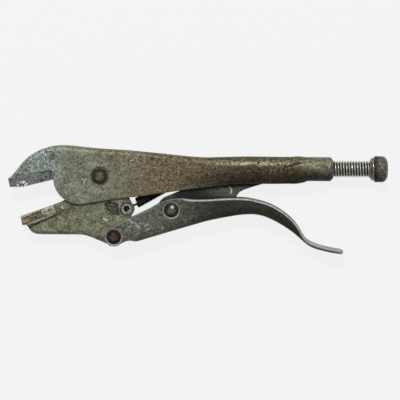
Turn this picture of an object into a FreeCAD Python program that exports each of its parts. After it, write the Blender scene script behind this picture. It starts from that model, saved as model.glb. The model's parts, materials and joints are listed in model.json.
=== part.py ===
import FreeCAD, Part
import math
import os

# Locking pliers, 250 mm class, without a release lever: the curled end of the lower handle opens them.
# Side view in X and Y, with the jaws towards -X and the adjusting screw towards +X; thickness along Z.
# The origin is on the jaw pivot's axis, in the plane that the tool lies on. All sizes are in millimetres.
# Everything is drawn about the tool's own mid-plane, z = 0, and lifted by LIE_HEIGHT when it is written.

Vector = FreeCAD.Vector

# ---- driving dimensions ----
OVERALL_LENGTH = 250.0   # upper jaw's tip to the end of the knob
SCREW_D = 11.1           # thread crests, 7/16 inch
THREAD_PITCH = 1.814     # 14 threads per inch
THREAD_DEPTH = 1.1
KNOB_R = 8.6
HANDLE_SHEET = 2.4       # steel sheet of the upper handle
LEVER_SHEET = 2.8        # steel sheet of the lower handle
LINK_SHEET = 1.9         # steel sheet of the toggle link
TAIL_THICKNESS = 3.1     # flattened end of the lower handle
BORE_CLEARANCE = 0.05    # radial, for the screw and for every pin that turns in a hole
JAW_SIDE_CLEARANCE = 0.2
LINK_SIDE_CLEARANCE = 0.25
LEVER_SIDE_CLEARANCE = 0.1
RIVET_R = 4.0
JAW_RIVET_HEAD_R = 5.0
LEVER_RIVET_HEAD_R = 4.7
COUNTERBORE_R = 5.35
COUNTERBORE_DEPTH = 0.6
HEAD_PROUD = 0.5         # rivet heads above the lower handle's sides
JAW_PIN_R = 1.7
JAW_EAR_R = 9.8
BOSS_R = 6.0             # lower jaw round the handle rivet
LEVER_EAR_R = 6.4
LUG_R = 4.7              # lower jaw's ears round the spring pin
SPRING_PIN_R = 3.6
SPRING_PIN_BORE_R = 2.0  # drilled in from each end
SPRING_PIN_WEB = 2.0     # left between the two drillings
WIRE_R = 0.7
COIL_R = 3.6             # outside of the spring's coils
COIL_TURNS = 17
HOLLOW_DEPTH = 1.4       # forged hollow in the lower jaw's sides
LUG_SLOT = 3.0           # slot between the ears, for the spring's loop
LOBE_R = 9.3             # toggle link round its rivet
LOBE_ROOM = 0.5          # round the lobe, inside the lower handle
NOSE_R = 4.0             # toggle link's end that meets the screw
NOSE_DROP = 1.2          # the nose rests this far below the screw's axis
NOSE_HALF = 3.0          # half the link's width at the nose, under the rolled sheet
TOGGLE_GAP = 6.3         # between the link's nose and the screw, for the nose's swing past centre
PLATE_OVERHANG = 1.2     # jaw plates stand this far past the jaws' sides
TOOTH_PITCH = 1.9
TOOTH_DEPTH = 0.65
TAB_THICKNESS = 1.8      # tongue in the handle that holds the spring's rear hook
TAB_HALF_WIDTH = 2.2
TAB_BELOW_EYE = 1.8
TAB_EYE_R = 0.85
SEAM_GAP = 0.8           # where the sheet's edges meet under the tube
LIFT_CLEARANCE = 0.1     # between a piece inside the fold and the fold
NOSE_GAP = 0.2           # between the upper jaw's wide part and the sheet's front edge

# ---- sizes worked out from them ----
K = OVERALL_LENGTH / 250.0
CHANNEL_HALF = SCREW_D / 2 + BORE_CLEARANCE      # the sheet is folded round the screw's diameter
HANDLE_HALF = CHANNEL_HALF + HANDLE_SHEET
JAW_HALF = CHANNEL_HALF - JAW_SIDE_CLEARANCE
FIXED_JAW_HALF = CHANNEL_HALF - LIFT_CLEARANCE
LEVER_CHANNEL_HALF = CHANNEL_HALF + LEVER_SIDE_CLEARANCE
LEVER_HALF = LEVER_CHANNEL_HALF + LEVER_SHEET
LINK_HALF = CHANNEL_HALF - LINK_SIDE_CLEARANCE
HEAD_Z = max(LEVER_HALF, HANDLE_HALF) + HEAD_PROUD
LIE_HEIGHT = max(HEAD_Z, KNOB_R)
PLATE_HALF = JAW_HALF + PLATE_OVERHANG


def at(x, y):
    """A point of the side view, which grows with the tool's length."""
    return Vector(x * K, y * K, 0)


# ---- pivots ----
JAW_PIVOT = at(0, 0)
HANDLE_PIVOT = at(9.33, -40.0)
LINK_PIVOT = at(47.04, -22.4)
SPRING_PIVOT = at(17.67, -21.75)
AXIS_Y = 4.25 * K         # adjusting screw
NOSE_CENTRE = Vector(120.0 * K, AXIS_Y - NOSE_DROP, 0)
SPRING_ANGLE = math.radians(29.0)
SPRING_LENGTH = 52.0 * K  # spring pin to the tab in the handle
COIL_START = 6.8
COIL_END = SPRING_LENGTH - 9.0
SPRING_DIRECTION = Vector(math.cos(SPRING_ANGLE), math.sin(SPRING_ANGLE), 0)
TAB_POINT = SPRING_PIVOT + SPRING_DIRECTION * SPRING_LENGTH

TUBE_START = 128.0 * K
TUBE_END = 153.8 * K
NOSE_ROOM = 6.0           # the channel's inside runs on this far into the tube
SCREW_TIP = NOSE_CENTRE.x + NOSE_R + TOGGLE_GAP
KNOB_END = 189.7 * K
KNOB_LENGTH = 8.8
KNOB_CONE = 4.2
THREAD_END = KNOB_END - KNOB_LENGTH - KNOB_CONE


# ---- outline helpers ----
def trace(start, *steps):
    """A closed face in the side view. Each step is ('line', point), ('arc', through, point) or
    ('curve', [points]); the last step comes back to start."""
    edges = []
    here = start
    for kind, *points in steps:
        if kind == "line":
            edges.append(Part.LineSegment(here, points[0]).toShape())
            here = points[0]
        elif kind == "arc":
            edges.append(Part.Arc(here, points[0], points[1]).toShape())
            here = points[1]
        else:
            spline = Part.BSplineCurve()
            spline.interpolate([here, *points[0]])
            edges.append(spline.toShape())
            here = points[0][-1]
    if (here - start).Length > 1e-6:
        edges.append(Part.LineSegment(here, start).toShape())
    return Part.Face(Part.Wire(Part.__sortEdges__(edges)))


def slab(face, low, high):
    """The face of the side view as a plate from z = low to z = high."""
    plate = face.copy()
    plate.translate(Vector(0, 0, low))
    return plate.extrude(Vector(0, 0, high - low))


def post(centre, radius, low, high):
    """A cylinder along Z."""
    return Part.makeCylinder(radius, high - low, Vector(centre.x, centre.y, low))


def on_circle(centre, radius, degrees):
    a = math.radians(degrees)
    return centre + Vector(math.cos(a), math.sin(a), 0) * radius


def tangent_angle(centre_a, radius_a, centre_b, radius_b):
    """Direction, in degrees, of both circles' points on the belt tangent that lies to the right of a to b."""
    way = centre_b - centre_a
    along = math.degrees(math.atan2(way.y, way.x))
    return along - math.degrees(math.acos((radius_a - radius_b) / way.Length))


def teeth(first, last, side):
    """The points of a row of teeth from first to last; side is 1 where the steel lies to the left."""
    way = last - first
    count = int(way.Length / TOOTH_PITCH)
    step = way * (1.0 / count)
    inward = Vector(-way.y, way.x, 0).normalize() * (TOOTH_DEPTH * side)
    points = []
    for i in range(count):
        points.append(first + step * (i + 0.5) + inward)
        points.append(first + step * (i + 1))
    return points


def lines(points):
    return [("line", p) for p in points]


def edges_between(shape, test):
    """The edges of a shape whose middle passes the test."""
    found = []
    for edge in shape.Edges:
        middle = edge.valueAt((edge.FirstParameter + edge.LastParameter) / 2)
        if test(edge, middle):
            found.append(edge)
    return found


def soften(shape, radius, test):
    """Rounds the edges that pass the test."""
    chosen = edges_between(shape, test)
    return shape.makeFillet(radius, chosen) if chosen else shape


def along_side(edge):
    """True for an edge that runs in the side view's plane."""
    box = edge.BoundBox
    return box.ZLength < 1e-3


# ---- upper handle: one sheet folded into a channel, rolled into a tube round the screw ----
HANDLE_TOP = [at(-35.2, 18.6), at(-26.0, 20.1), at(-9.6, 18.9), at(23.3, 16.4), at(56.0, 13.0),
              at(70.0, 12.1), at(84.0, 12.5), at(106.0, 12.6), at(126.0, 12.6), at(136.0, 12.1)]
FOLD_RADIUS = [3.2, 3.2, 3.2, 3.2, 3.6, 4.8, 6.2, 7.2, 7.5, 7.6]
# how far the legs tuck in at their knee and at their foot, and where each station's foot is
TUCK = [(0, 0), (0, 0), (0, 0), (0, 0), (0, 0), (0, 0.3), (0.2, 1.2), (0.4, 2.0), (0.5, 2.1), (1.1, 4.0)]
FOOT_Y = [-23, -23, -23, -19, -13, -9.5, -7.6, -6.4, -6.2, -5.6]
KNEE_DROP = 10.0          # below the top line


def fold_section(x, top, half, radius, knee, tuck, foot):
    """Cross-section at x: a round-cornered arch whose legs tuck in below the knee, closed at its foot."""
    radius = min(radius, half - 0.2)
    corner = radius * (1 - math.sqrt(0.5))
    z = half - radius
    side, low = half - tuck[0], half - tuck[1]

    def p(y, w):
        return Vector(x, y, w)

    pieces = [
        Part.LineSegment(p(foot, -low), p(knee, -side)),
        Part.LineSegment(p(knee, -side), p(top - radius, -half)),
        Part.Arc(p(top - radius, -half), p(top - corner, -half + corner), p(top, -z)),
        Part.LineSegment(p(top, -z), p(top, z)),
        Part.Arc(p(top, z), p(top - corner, half - corner), p(top - radius, half)),
        Part.LineSegment(p(top - radius, half), p(knee, side)),
        Part.LineSegment(p(knee, side), p(foot, low)),
        Part.LineSegment(p(foot, low), p(foot, -low)),
    ]
    return Part.Wire([piece.toShape() for piece in pieces])


def handle_arch(half, drop, thinner):
    """The folded block's outside (drop 0) or inside, lofted along the handle."""
    sections = []
    last = len(HANDLE_TOP) - 1
    for i, (point, radius, tuck, foot) in enumerate(zip(HANDLE_TOP, FOLD_RADIUS, TUCK, FOOT_Y)):
        x = point.x
        if drop and i in (0, last):
            x += 2.0 if i else -2.0
        knee = point.y - KNEE_DROP
        sections.append(fold_section(x, point.y - drop, half, radius - thinner, knee, tuck, foot * K - drop))
    return Part.makeLoft(sections, True, False)


def handle_side():
    """Side outline that the folded sheet is trimmed to."""
    return trace(
        at(-35.2, 24.0),
        ("line", at(-35.2, 18.7)),
        ("curve", [at(-33.9, 11.8), at(-32.2, 5.4), at(-30.5, -2.0)]),
        ("arc", at(-24.0, -14.9), at(-12.5, -18.7)),
        ("curve", [at(-1.0, -16.9), at(12.0, -14.9), at(23.5, -13.9)]),
        ("curve", [at(48.9, -10.2), at(68.6, -7.5), at(83.0, -5.9), at(98.8, -5.3)]),
        ("line", at(125.0, -5.3)),
        ("curve", [at(130.5, -5.1), at(136.0, -3.9)]),
        ("line", at(136.0, 4.0)),
        ("line", at(136.0, 24.0)),
    )


def tube():
    """Rear end of the handle, rolled round the screw."""
    outer_r = CHANNEL_HALF + HANDLE_SHEET
    blank = Part.makeCylinder(outer_r, TUBE_END - TUBE_START, Vector(TUBE_START, AXIS_Y, 0), Vector(1, 0, 0))
    return soften_tube_mouth(blank, outer_r)


def soften_tube_mouth(blank, outer_r):
    """Chamfers the rear rim of the tube."""
    rim = edges_between(blank, lambda e, m: abs(e.BoundBox.XMin - TUBE_END) < 1e-6
                        and e.BoundBox.YLength > outer_r)
    return blank.makeChamfer(0.8 * HANDLE_SHEET, rim)


def upper_handle():
    outside = handle_arch(HANDLE_HALF, 0.0, 0.0)
    inside = handle_arch(CHANNEL_HALF, HANDLE_SHEET, HANDLE_SHEET)
    trim = slab(handle_side(), -HANDLE_HALF - 1, HANDLE_HALF + 1)
    sheet = outside.common(trim)
    shell = sheet.fuse(tube()).cut(inside_room(inside))
    bore = Part.makeCylinder(CHANNEL_HALF, TUBE_END - TUBE_START + 20, Vector(TUBE_START - 10, AXIS_Y, 0),
                             Vector(1, 0, 0))
    seam = Part.makeBox(TUBE_END, 20, SEAM_GAP, Vector(TUBE_START, AXIS_Y - 20, -SEAM_GAP / 2))
    shell = shell.cut(bore).cut(seam)
    shell = shell.fuse(spring_tab()).cut(spring_window())
    shell = shell.cut(post(JAW_PIVOT, RIVET_R + BORE_CLEARANCE, -20, 20))
    for point in JAW_PIN_POINTS:
        shell = shell.cut(post(point, JAW_PIN_R, -20, 20))
    return shell


def inside_room(inside):
    """The channel's inside, stopped where the tube begins."""
    tube_block = Part.makeBox(200, 400, 400, Vector(TUBE_START + NOSE_ROOM, -200, -200))
    return inside.cut(tube_block)


WEB_AT_TAB = at(0, 12.5).y - HANDLE_SHEET


def spring_tab():
    """Tongue lanced out of the handle's back and bent down, with a hole for the spring's rear hook."""
    low = TAB_POINT.y - TAB_BELOW_EYE
    block = Part.makeBox(TAB_THICKNESS, WEB_AT_TAB + 1.0 - low, 2 * TAB_HALF_WIDTH,
                         Vector(TAB_POINT.x - TAB_THICKNESS / 2, low, -TAB_HALF_WIDTH))
    start = TAB_POINT - SPRING_DIRECTION * (2 * TAB_THICKNESS)
    eye = Part.makeCylinder(TAB_EYE_R, 4 * TAB_THICKNESS, start, SPRING_DIRECTION)
    return block.cut(eye)


def spring_window():
    """The opening that the tongue was bent out of."""
    length = WEB_AT_TAB - TAB_POINT.y + TAB_BELOW_EYE
    return Part.makeBox(length, 20, 2 * TAB_HALF_WIDTH,
                        Vector(TAB_POINT.x + TAB_THICKNESS / 2, WEB_AT_TAB - 1.0, -TAB_HALF_WIDTH))


JAW_PIN_POINTS = [at(-31.0, 12.5), at(-22.1, -3.6)]
JAW_TAIL_R = 3.0          # upper jaw round its rear pin


# ---- fixed upper jaw and its toothed plate ----
UPPER_SEAT_FRONT = at(-59.4, -1.2)
UPPER_SEAT_BACK = at(-29.5, 3.9)
UPPER_BITE = [at(-59.0, -7.6), at(-50.3, -7.35), at(-29.5, -2.4)]


def upper_jaw():
    under = HANDLE_SHEET + 3 * LIFT_CLEARANCE
    tail_top = [p - Vector(0, under, 0) for p in (at(-35.2, 18.6), at(-26.0, 20.1), at(-9.6, 18.9), at(3.0, 17.9))]
    relief = JAW_EAR_R + 0.8
    side = trace(
        UPPER_SEAT_FRONT,
        ("curve", [at(-56.2, 2.3), at(-48.4, 11.3), at(-40.5, 16.5), at(-35.3, 18.6)]),
        ("line", tail_top[0] - Vector(0.1, 0, 0)),
        ("curve", tail_top[1:]),
        ("line", on_circle(JAW_PIVOT, relief, 72)),
        ("arc", on_circle(JAW_PIVOT, relief, 108), on_circle(JAW_PIVOT, relief, 140)),
        ("line", on_circle(JAW_PIN_POINTS[1], JAW_TAIL_R, 45)),
        ("arc", on_circle(JAW_PIN_POINTS[1], JAW_TAIL_R, -20), on_circle(JAW_PIN_POINTS[1], JAW_TAIL_R, -90)),
        ("line", UPPER_BITE[2]),
        ("line", UPPER_SEAT_BACK),
        ("line", UPPER_SEAT_FRONT),
    )
    core = slab(side, -FIXED_JAW_HALF, FIXED_JAW_HALF)
    nose = slab(side, -HANDLE_HALF, HANDLE_HALF).common(nose_block())
    nose = soften(nose, 1.6, lambda e, m: along_side(e) and m.y > UPPER_SEAT_FRONT.y + 3.0
                  and m.x < at(-36, 0).x)
    jaw = core.fuse(nose)
    for point in JAW_PIN_POINTS:
        jaw = jaw.cut(post(point, JAW_PIN_R, -20, 20))
    return jaw


def nose_block():
    """Room for the wide part of the jaw: in front of the sheet's edge, and narrower towards the tip."""
    plan = trace(
        at(-75.0, 30.0),
        ("line", at(-75.0, -10.0)),
        ("line", at(-30.6, -10.0)),
        ("line", at(-30.6, -2.0)),
        ("curve", [at(-32.3, 5.4), at(-34.0, 11.8), at(-35.3, 18.7)]),
        ("line", at(-35.3, 30.0)),
    )
    block = slab(plan, -HANDLE_HALF, HANDLE_HALF)
    block.translate(Vector(-NOSE_GAP, 0, 0))
    wide, tip = HANDLE_HALF - 0.25, JAW_HALF + 0.9
    corners = [(at(-64, 0).x, tip), (at(-34, 0).x, wide), (0, wide)]
    around = corners + [(x, -z) for x, z in reversed(corners)]
    points = [Vector(x, -30 * K, z) for x, z in around]
    taper = Part.Face(Part.makePolygon([*points, points[0]])).extrude(Vector(0, 80 * K, 0))
    return block.common(taper)


def upper_jaw_plate():
    front, bend, back = UPPER_BITE
    side = trace(
        UPPER_SEAT_FRONT,
        ("line", at(-60.3, -1.4)),
        ("line", front),
        *lines(teeth(front, bend, 1)),
        *lines(teeth(bend, back, 1)),
        ("line", UPPER_SEAT_BACK),
        ("line", UPPER_SEAT_FRONT),
    )
    # behind the sheet's front edge the plate is as thin as the jaw
    wide = slab(side, -PLATE_HALF, PLATE_HALF)
    behind = Part.makeBox(40, 80, 80, Vector(at(-32.6, 0).x, -40, -40))
    core = Part.makeBox(400, 400, 2 * FIXED_JAW_HALF, Vector(-200, -200, -FIXED_JAW_HALF))
    return wide.cut(behind.cut(core))


# ---- lower jaw and its toothed plate ----
LOWER_SEAT_FRONT = at(-47.4, -33.6)
LOWER_SEAT_BACK = at(-28.1, -25.0)
LOWER_BITE_FRONT = at(-52.3, -26.5)
LOWER_BITE_BACK = at(-30.5, -18.9)
HEEL = at(-24.0, -16.2)
NECK = at(-17.5, -15.0)


def lower_jaw():
    way = NECK - JAW_PIVOT
    neck_angle = math.degrees(math.atan2(way.y, way.x)) - math.degrees(math.acos(JAW_EAR_R / way.Length))
    ear_to_lug = tangent_angle(SPRING_PIVOT, LUG_R, JAW_PIVOT, JAW_EAR_R)
    lug_to_boss = tangent_angle(HANDLE_PIVOT, BOSS_R, SPRING_PIVOT, LUG_R)
    side = trace(
        on_circle(JAW_PIVOT, JAW_EAR_R, neck_angle),
        ("line", NECK),
        ("line", HEEL),
        ("curve", [at(-26.2, -17.4), LOWER_BITE_BACK]),
        ("line", LOWER_SEAT_BACK),
        ("line", LOWER_SEAT_FRONT),
        ("curve", [at(-45.2, -36.7), at(-39.2, -38.6)]),
        ("line", at(-14.0, -38.8)),
        ("curve", [at(-6.3, -40.3), at(0.3, -43.1), on_circle(HANDLE_PIVOT, BOSS_R, 250)]),
        ("arc", on_circle(HANDLE_PIVOT, BOSS_R, 300), on_circle(HANDLE_PIVOT, BOSS_R, lug_to_boss)),
        ("line", on_circle(SPRING_PIVOT, LUG_R, lug_to_boss)),
        ("arc", on_circle(SPRING_PIVOT, LUG_R, (lug_to_boss + ear_to_lug) / 2),
         on_circle(SPRING_PIVOT, LUG_R, ear_to_lug)),
        ("line", on_circle(JAW_PIVOT, JAW_EAR_R, ear_to_lug)),
        ("arc", on_circle(JAW_PIVOT, JAW_EAR_R, 90), on_circle(JAW_PIVOT, JAW_EAR_R, neck_angle)),
    )
    jaw = slab(side, -JAW_HALF, JAW_HALF)
    jaw = jaw.cut(post(JAW_PIVOT, RIVET_R + BORE_CLEARANCE, -20, 20))
    jaw = jaw.cut(post(HANDLE_PIVOT, RIVET_R + BORE_CLEARANCE, -20, 20))
    jaw = jaw.cut(post(SPRING_PIVOT, SPRING_PIN_R + BORE_CLEARANCE, -20, 20))
    loop_room = SPRING_PIN_R + 2 * WIRE_R + 0.9
    slot = post(SPRING_PIVOT, loop_room, -LUG_SLOT / 2, LUG_SLOT / 2)
    jaw = jaw.cut(slot)
    jaw = jaw.cut(hollow(JAW_HALF - HOLLOW_DEPTH, JAW_HALF + 1))
    jaw = jaw.cut(hollow(-JAW_HALF - 1, HOLLOW_DEPTH - JAW_HALF))
    return jaw


def hollow(low, high):
    """Forged hollow in the jaw's side, below the rib that carries the spring pin."""
    side = trace(
        at(3.0, -18.6),
        ("curve", [at(8.0, -17.6), at(12.0, -19.4)]),
        ("curve", [at(12.2, -23.6), at(13.4, -26.4)]),
        ("curve", [at(7.5, -24.2), at(3.0, -18.6)]),
    )
    return slab(side, low, high)


def lower_jaw_plate():
    side = trace(
        LOWER_BITE_FRONT,
        ("line", at(-50.9, -32.5)),
        ("line", at(-48.2, -32.2)),
        ("line", LOWER_SEAT_FRONT),
        ("line", LOWER_SEAT_BACK),
        ("line", LOWER_BITE_BACK),
        *lines(teeth(LOWER_BITE_BACK, LOWER_BITE_FRONT, 1)),
    )
    return slab(side, -PLATE_HALF, PLATE_HALF)


# ---- lower handle: a channel open upwards, pressed flat and curled away at its end ----
LEVER_BOTTOM = [at(24.6, -43.2), at(39.7, -38.7), at(52.8, -34.8), at(66.0, -31.0), at(79.1, -27.9),
                at(89.0, -26.2), at(98.8, -25.3), at(105.4, -25.9), at(112.0, -28.3), at(118.5, -31.7),
                at(125.1, -35.8), at(131.7, -41.2), at(138.2, -46.4), at(144.8, -48.9), at(151.4, -50.5),
                at(158.6, -51.7)]
LEVER_TOP = [at(54.8, -14.5), at(90.9, -14.2), at(98.5, -14.8), at(103.4, -15.8), at(112.3, -18.5),
             at(119.0, -22.1), at(125.8, -27.3), at(131.0, -33.4), at(135.1, -40.3)]


def offset_up(points, distance):
    """The points moved square to their run, to its left."""
    moved = []
    for i, p in enumerate(points):
        a = points[max(i - 1, 0)]
        b = points[min(i + 1, len(points) - 1)]
        way = b - a
        moved.append(p + Vector(-way.y, way.x, 0).normalize() * distance)
    return moved


def lower_handle():
    tail = offset_up(LEVER_BOTTOM, TAIL_THICKNESS)[12:]
    side = trace(
        on_circle(HANDLE_PIVOT, LEVER_EAR_R, 118),
        ("arc", on_circle(HANDLE_PIVOT, LEVER_EAR_R, 200), on_circle(HANDLE_PIVOT, LEVER_EAR_R, 303)),
        ("curve", [at(16.8, -43.2), at(20.2, -42.6), at(22.6, -43.3)]),
        ("line", LEVER_BOTTOM[0]),
        ("curve", LEVER_BOTTOM[1:]),
        ("arc", (LEVER_BOTTOM[-1] + tail[-1]) * 0.5 + Vector(TAIL_THICKNESS / 2, -0.3, 0), tail[-1]),
        ("curve", [*reversed(tail[:-1])]),
        ("curve", [*reversed(LEVER_TOP)]),
        ("curve", [at(49.7, -14.8), at(43.2, -16.1), at(38.6, -18.3), at(33.1, -21.6)]),
        ("line", at(19.3, -28.0)),
        ("line", on_circle(HANDLE_PIVOT, LEVER_EAR_R, 118)),
    )
    lever = slab(side, -LEVER_HALF, LEVER_HALF)
    floor = offset_up(LEVER_BOTTOM, LEVER_SHEET)[:13]
    room = trace(
        at(-20, -60),
        ("line", Vector(at(21.4, 0).x, at(0, -60).y, 0)),
        ("line", Vector(at(21.4, 0).x, floor[0].y - 0.6, 0)),
        ("line", floor[0]),
        ("curve", floor[1:]),
        ("line", floor[-1] + Vector(0, 0.1, 0)),
        ("line", at(150, 20)),
        ("line", at(-20, 20)),
    )
    lever = lever.cut(slab(room, -LEVER_CHANNEL_HALF, LEVER_CHANNEL_HALF))
    lever = lever.cut(post(LINK_PIVOT, LOBE_R + LOBE_ROOM, -LEVER_CHANNEL_HALF, LEVER_CHANNEL_HALF))
    for pivot in (HANDLE_PIVOT, LINK_PIVOT):
        lever = lever.cut(post(pivot, RIVET_R + BORE_CLEARANCE, -20, 20))
        lever = lever.cut(post(pivot, COUNTERBORE_R, LEVER_HALF - COUNTERBORE_DEPTH, 20))
        lever = lever.cut(post(pivot, COUNTERBORE_R, -20, COUNTERBORE_DEPTH - LEVER_HALF))
    return lever


# ---- toggle link: a pressed trough, open above, closed along its foot and round its nose ----
def toggle_link():
    shoulder = at(90.3, -13.5)
    side = trace(
        on_circle(LINK_PIVOT, LOBE_R, 120),
        ("arc", on_circle(LINK_PIVOT, LOBE_R, 200), on_circle(LINK_PIVOT, LOBE_R, 283)),
        ("line", at(78.5, -24.1)),
        ("curve", [at(83.5, -23.0), at(86.8, -19.4)]),
        ("line", shoulder),
        ("curve", [at(92.3, -10.7), at(95.6, -9.1), at(101.5, -7.1), at(106.7, -5.6)]),
        ("line", NOSE_CENTRE + Vector(0, -NOSE_R, 0)),
        ("arc", NOSE_CENTRE + Vector(NOSE_R, 0, 0), NOSE_CENTRE + Vector(0, NOSE_R, 0)),
        ("line", at(92.0, 4.2)),
        ("curve", [at(82.0, 1.8), at(73.5, -1.3)]),
        ("line", on_circle(LINK_PIVOT, LOBE_R, 120)),
    )
    link = slab(side, -LINK_HALF, LINK_HALF).common(link_plan(0.0))
    room = trace(
        at(26.0, -38.0),
        ("line", at(49.5, -28.7)),
        ("line", at(77.6, -21.6)),
        ("line", at(84.0, -18.6)),
        ("line", at(88.0, -11.5)),
        ("line", at(94.5, -6.6)),
        ("line", at(94.5, 26.0)),
        ("line", at(26.0, 26.0)),
    )
    link = link.cut(slab(room, -LINK_HALF, LINK_HALF).common(link_plan(LINK_SHEET)))
    return link.cut(post(LINK_PIVOT, RIVET_R + BORE_CLEARANCE, -20, 20))


def link_plan(inset):
    """The link's plan view as a tall block: full width at the rivet, narrower towards the nose.
    inset makes it that much thinner on each side."""
    low = at(0, -60).y
    wide, narrow = LINK_HALF - inset, NOSE_HALF - inset
    corners = [(at(20, 0).x, wide), (at(58, 0).x, wide), (at(88, 0).x, narrow),
               (NOSE_CENTRE.x + 2 * NOSE_R, narrow)]
    around = corners + [(x, -z) for x, z in reversed(corners)]
    points = [Vector(x, low, z) for x, z in around]
    plan = Part.Face(Part.makePolygon([*points, points[0]]))
    return plan.extrude(Vector(0, at(0, 120).y, 0))


# ---- rivets and pins ----
def rivet(centre, seat, head_r, top, dome):
    """A rivet with a flat-topped, rounded head on each side. seat is where each head sits, top its face."""
    body = post(centre, RIVET_R, -seat, seat)
    dome = min(dome, 0.7 * (top - seat))
    for side in (1, -1):
        low, high = sorted((side * (seat + 0.03), side * top))
        head = post(centre, head_r, low, high)
        head = soften(head, dome, lambda e, m: abs(e.BoundBox.ZMin - side * top) < 1e-6
                      and e.BoundBox.XLength > head_r)
        body = body.fuse(head)
        bridge_low, bridge_high = sorted((side * (seat - 0.5), side * (seat + 0.3)))
        body = body.fuse(post(centre, RIVET_R, bridge_low, bridge_high))
    return body.removeSplitter()


def jaw_rivet():
    return rivet(JAW_PIVOT, HANDLE_HALF, JAW_RIVET_HEAD_R, HEAD_Z, 0.9)


def handle_rivet():
    return rivet(HANDLE_PIVOT, LEVER_HALF - COUNTERBORE_DEPTH, LEVER_RIVET_HEAD_R, HEAD_Z, 0.6)


def link_rivet():
    return rivet(LINK_PIVOT, LEVER_HALF - COUNTERBORE_DEPTH, LEVER_RIVET_HEAD_R, HEAD_Z, 0.6)


def jaw_fixing_pins():
    reach = HANDLE_HALF - 0.2
    return Part.makeCompound([post(point, JAW_PIN_R, -reach, reach) for point in JAW_PIN_POINTS])


def spring_pin():
    pin = post(SPRING_PIVOT, SPRING_PIN_R, -JAW_HALF, JAW_HALF)
    pin = pin.cut(post(SPRING_PIVOT, SPRING_PIN_BORE_R, SPRING_PIN_WEB / 2, JAW_HALF + 1))
    return pin.cut(post(SPRING_PIVOT, SPRING_PIN_BORE_R, -JAW_HALF - 1, -SPRING_PIN_WEB / 2))


# ---- spring: rings in place of its coils, a loop round the pin, a hook through the tab ----
def opening_spring():
    pitch = (COIL_END - COIL_START) / COIL_TURNS
    mean = COIL_R - WIRE_R
    profile = [(0, COIL_START), (mean, COIL_START)]
    for i in range(COIL_TURNS):
        base = COIL_START + i * pitch
        profile += [(COIL_R, base + 0.25 * pitch), (COIL_R, base + 0.75 * pitch), (mean, base + pitch)]
    inner = COIL_R - 2 * WIRE_R
    profile += [(0, COIL_END), (0, COIL_END - 2 * WIRE_R), (inner, COIL_END - 2 * WIRE_R),
                (inner, COIL_START + 2 * WIRE_R), (0, COIL_START + 2 * WIRE_R)]
    points = [Vector(along, radius, 0) for radius, along in profile]
    wire = Part.makePolygon([*points, points[0]])
    coil = Part.Face(wire).revolve(Vector(0, 0, 0), Vector(1, 0, 0), 360)
    loop = Part.makeTorus(SPRING_PIN_R + WIRE_R + 0.1, WIRE_R)
    neck = Part.makeCylinder(WIRE_R, COIL_START - SPRING_PIN_R - WIRE_R + 0.2,
                             Vector(SPRING_PIN_R + WIRE_R, 0, 0), Vector(1, 0, 0))
    shank = Part.makeCylinder(WIRE_R, SPRING_LENGTH - COIL_END + 3.4, Vector(COIL_END - 0.4, 0, 0), Vector(1, 0, 0))
    hook_at = Vector(SPRING_LENGTH + 3.0 - WIRE_R, 0, 0)
    up = Vector(math.sin(SPRING_ANGLE), math.cos(SPRING_ANGLE), 0)
    hook = Part.makeCylinder(WIRE_R, 3.2, hook_at, up)
    spring = coil.fuse([loop, neck, shank, hook])
    spring.rotate(Vector(0, 0, 0), Vector(0, 0, 1), math.degrees(SPRING_ANGLE))
    spring.translate(SPRING_PIVOT)
    return spring.removeSplitter()


# ---- adjusting screw: rings in place of its thread, cone and round knob ----
def adjusting_screw():
    crest = SCREW_D / 2
    root = crest - THREAD_DEPTH
    flat = THREAD_PITCH / 8
    threads = int((THREAD_END - SCREW_TIP - 3.0) / THREAD_PITCH)
    profile = [(SCREW_TIP, 0), (SCREW_TIP, root - 0.8), (SCREW_TIP + 1.4, root)]
    start = THREAD_END - threads * THREAD_PITCH
    for i in range(threads):
        x = start + i * THREAD_PITCH
        profile += [(x, root), (x + 0.5 * THREAD_PITCH - flat, crest), (x + 0.5 * THREAD_PITCH + flat, crest)]
    knob_start = KNOB_END - KNOB_LENGTH
    profile += [(THREAD_END, root), (THREAD_END + 0.3, crest),
                (knob_start - 0.6, KNOB_R - 0.5), (knob_start, KNOB_R), (KNOB_END - 3.8, KNOB_R),
                (KNOB_END - 2.1, KNOB_R - 0.7), (KNOB_END - 0.8, KNOB_R - 2.3), (KNOB_END, KNOB_R - 4.8),
                (KNOB_END, 0)]
    points = [Vector(x, r, 0) for x, r in profile]
    wire = Part.makePolygon([*points, points[0]])
    screw = Part.Face(wire).revolve(Vector(0, 0, 0), Vector(1, 0, 0), 360)
    screw.translate(Vector(0, AXIS_Y, 0))
    return screw


PIECES = {
    "upper_handle": upper_handle,
    "upper_jaw": upper_jaw,
    "upper_jaw_plate": upper_jaw_plate,
    "jaw_fixing_pins": jaw_fixing_pins,
    "lower_jaw": lower_jaw,
    "lower_jaw_plate": lower_jaw_plate,
    "lower_handle": lower_handle,
    "toggle_link": toggle_link,
    "jaw_rivet": jaw_rivet,
    "handle_rivet": handle_rivet,
    "link_rivet": link_rivet,
    "spring_pin": spring_pin,
    "opening_spring": opening_spring,
    "adjusting_screw": adjusting_screw,
}


def main():
    os.makedirs("parts", exist_ok=True)
    for name, make in PIECES.items():
        shape = make()
        shape.translate(Vector(0, 0, LIE_HEIGHT))
        print(name, "solids", len(shape.Solids), "valid", shape.isValid(), "volume", round(shape.Volume, 1))
        shape.exportStep("parts/" + name + ".step")


main()
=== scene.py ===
import json
import math

import bmesh
import bpy
import numpy as np
from mathutils import Matrix, Vector, noise
from mathutils.kdtree import KDTree


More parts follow.
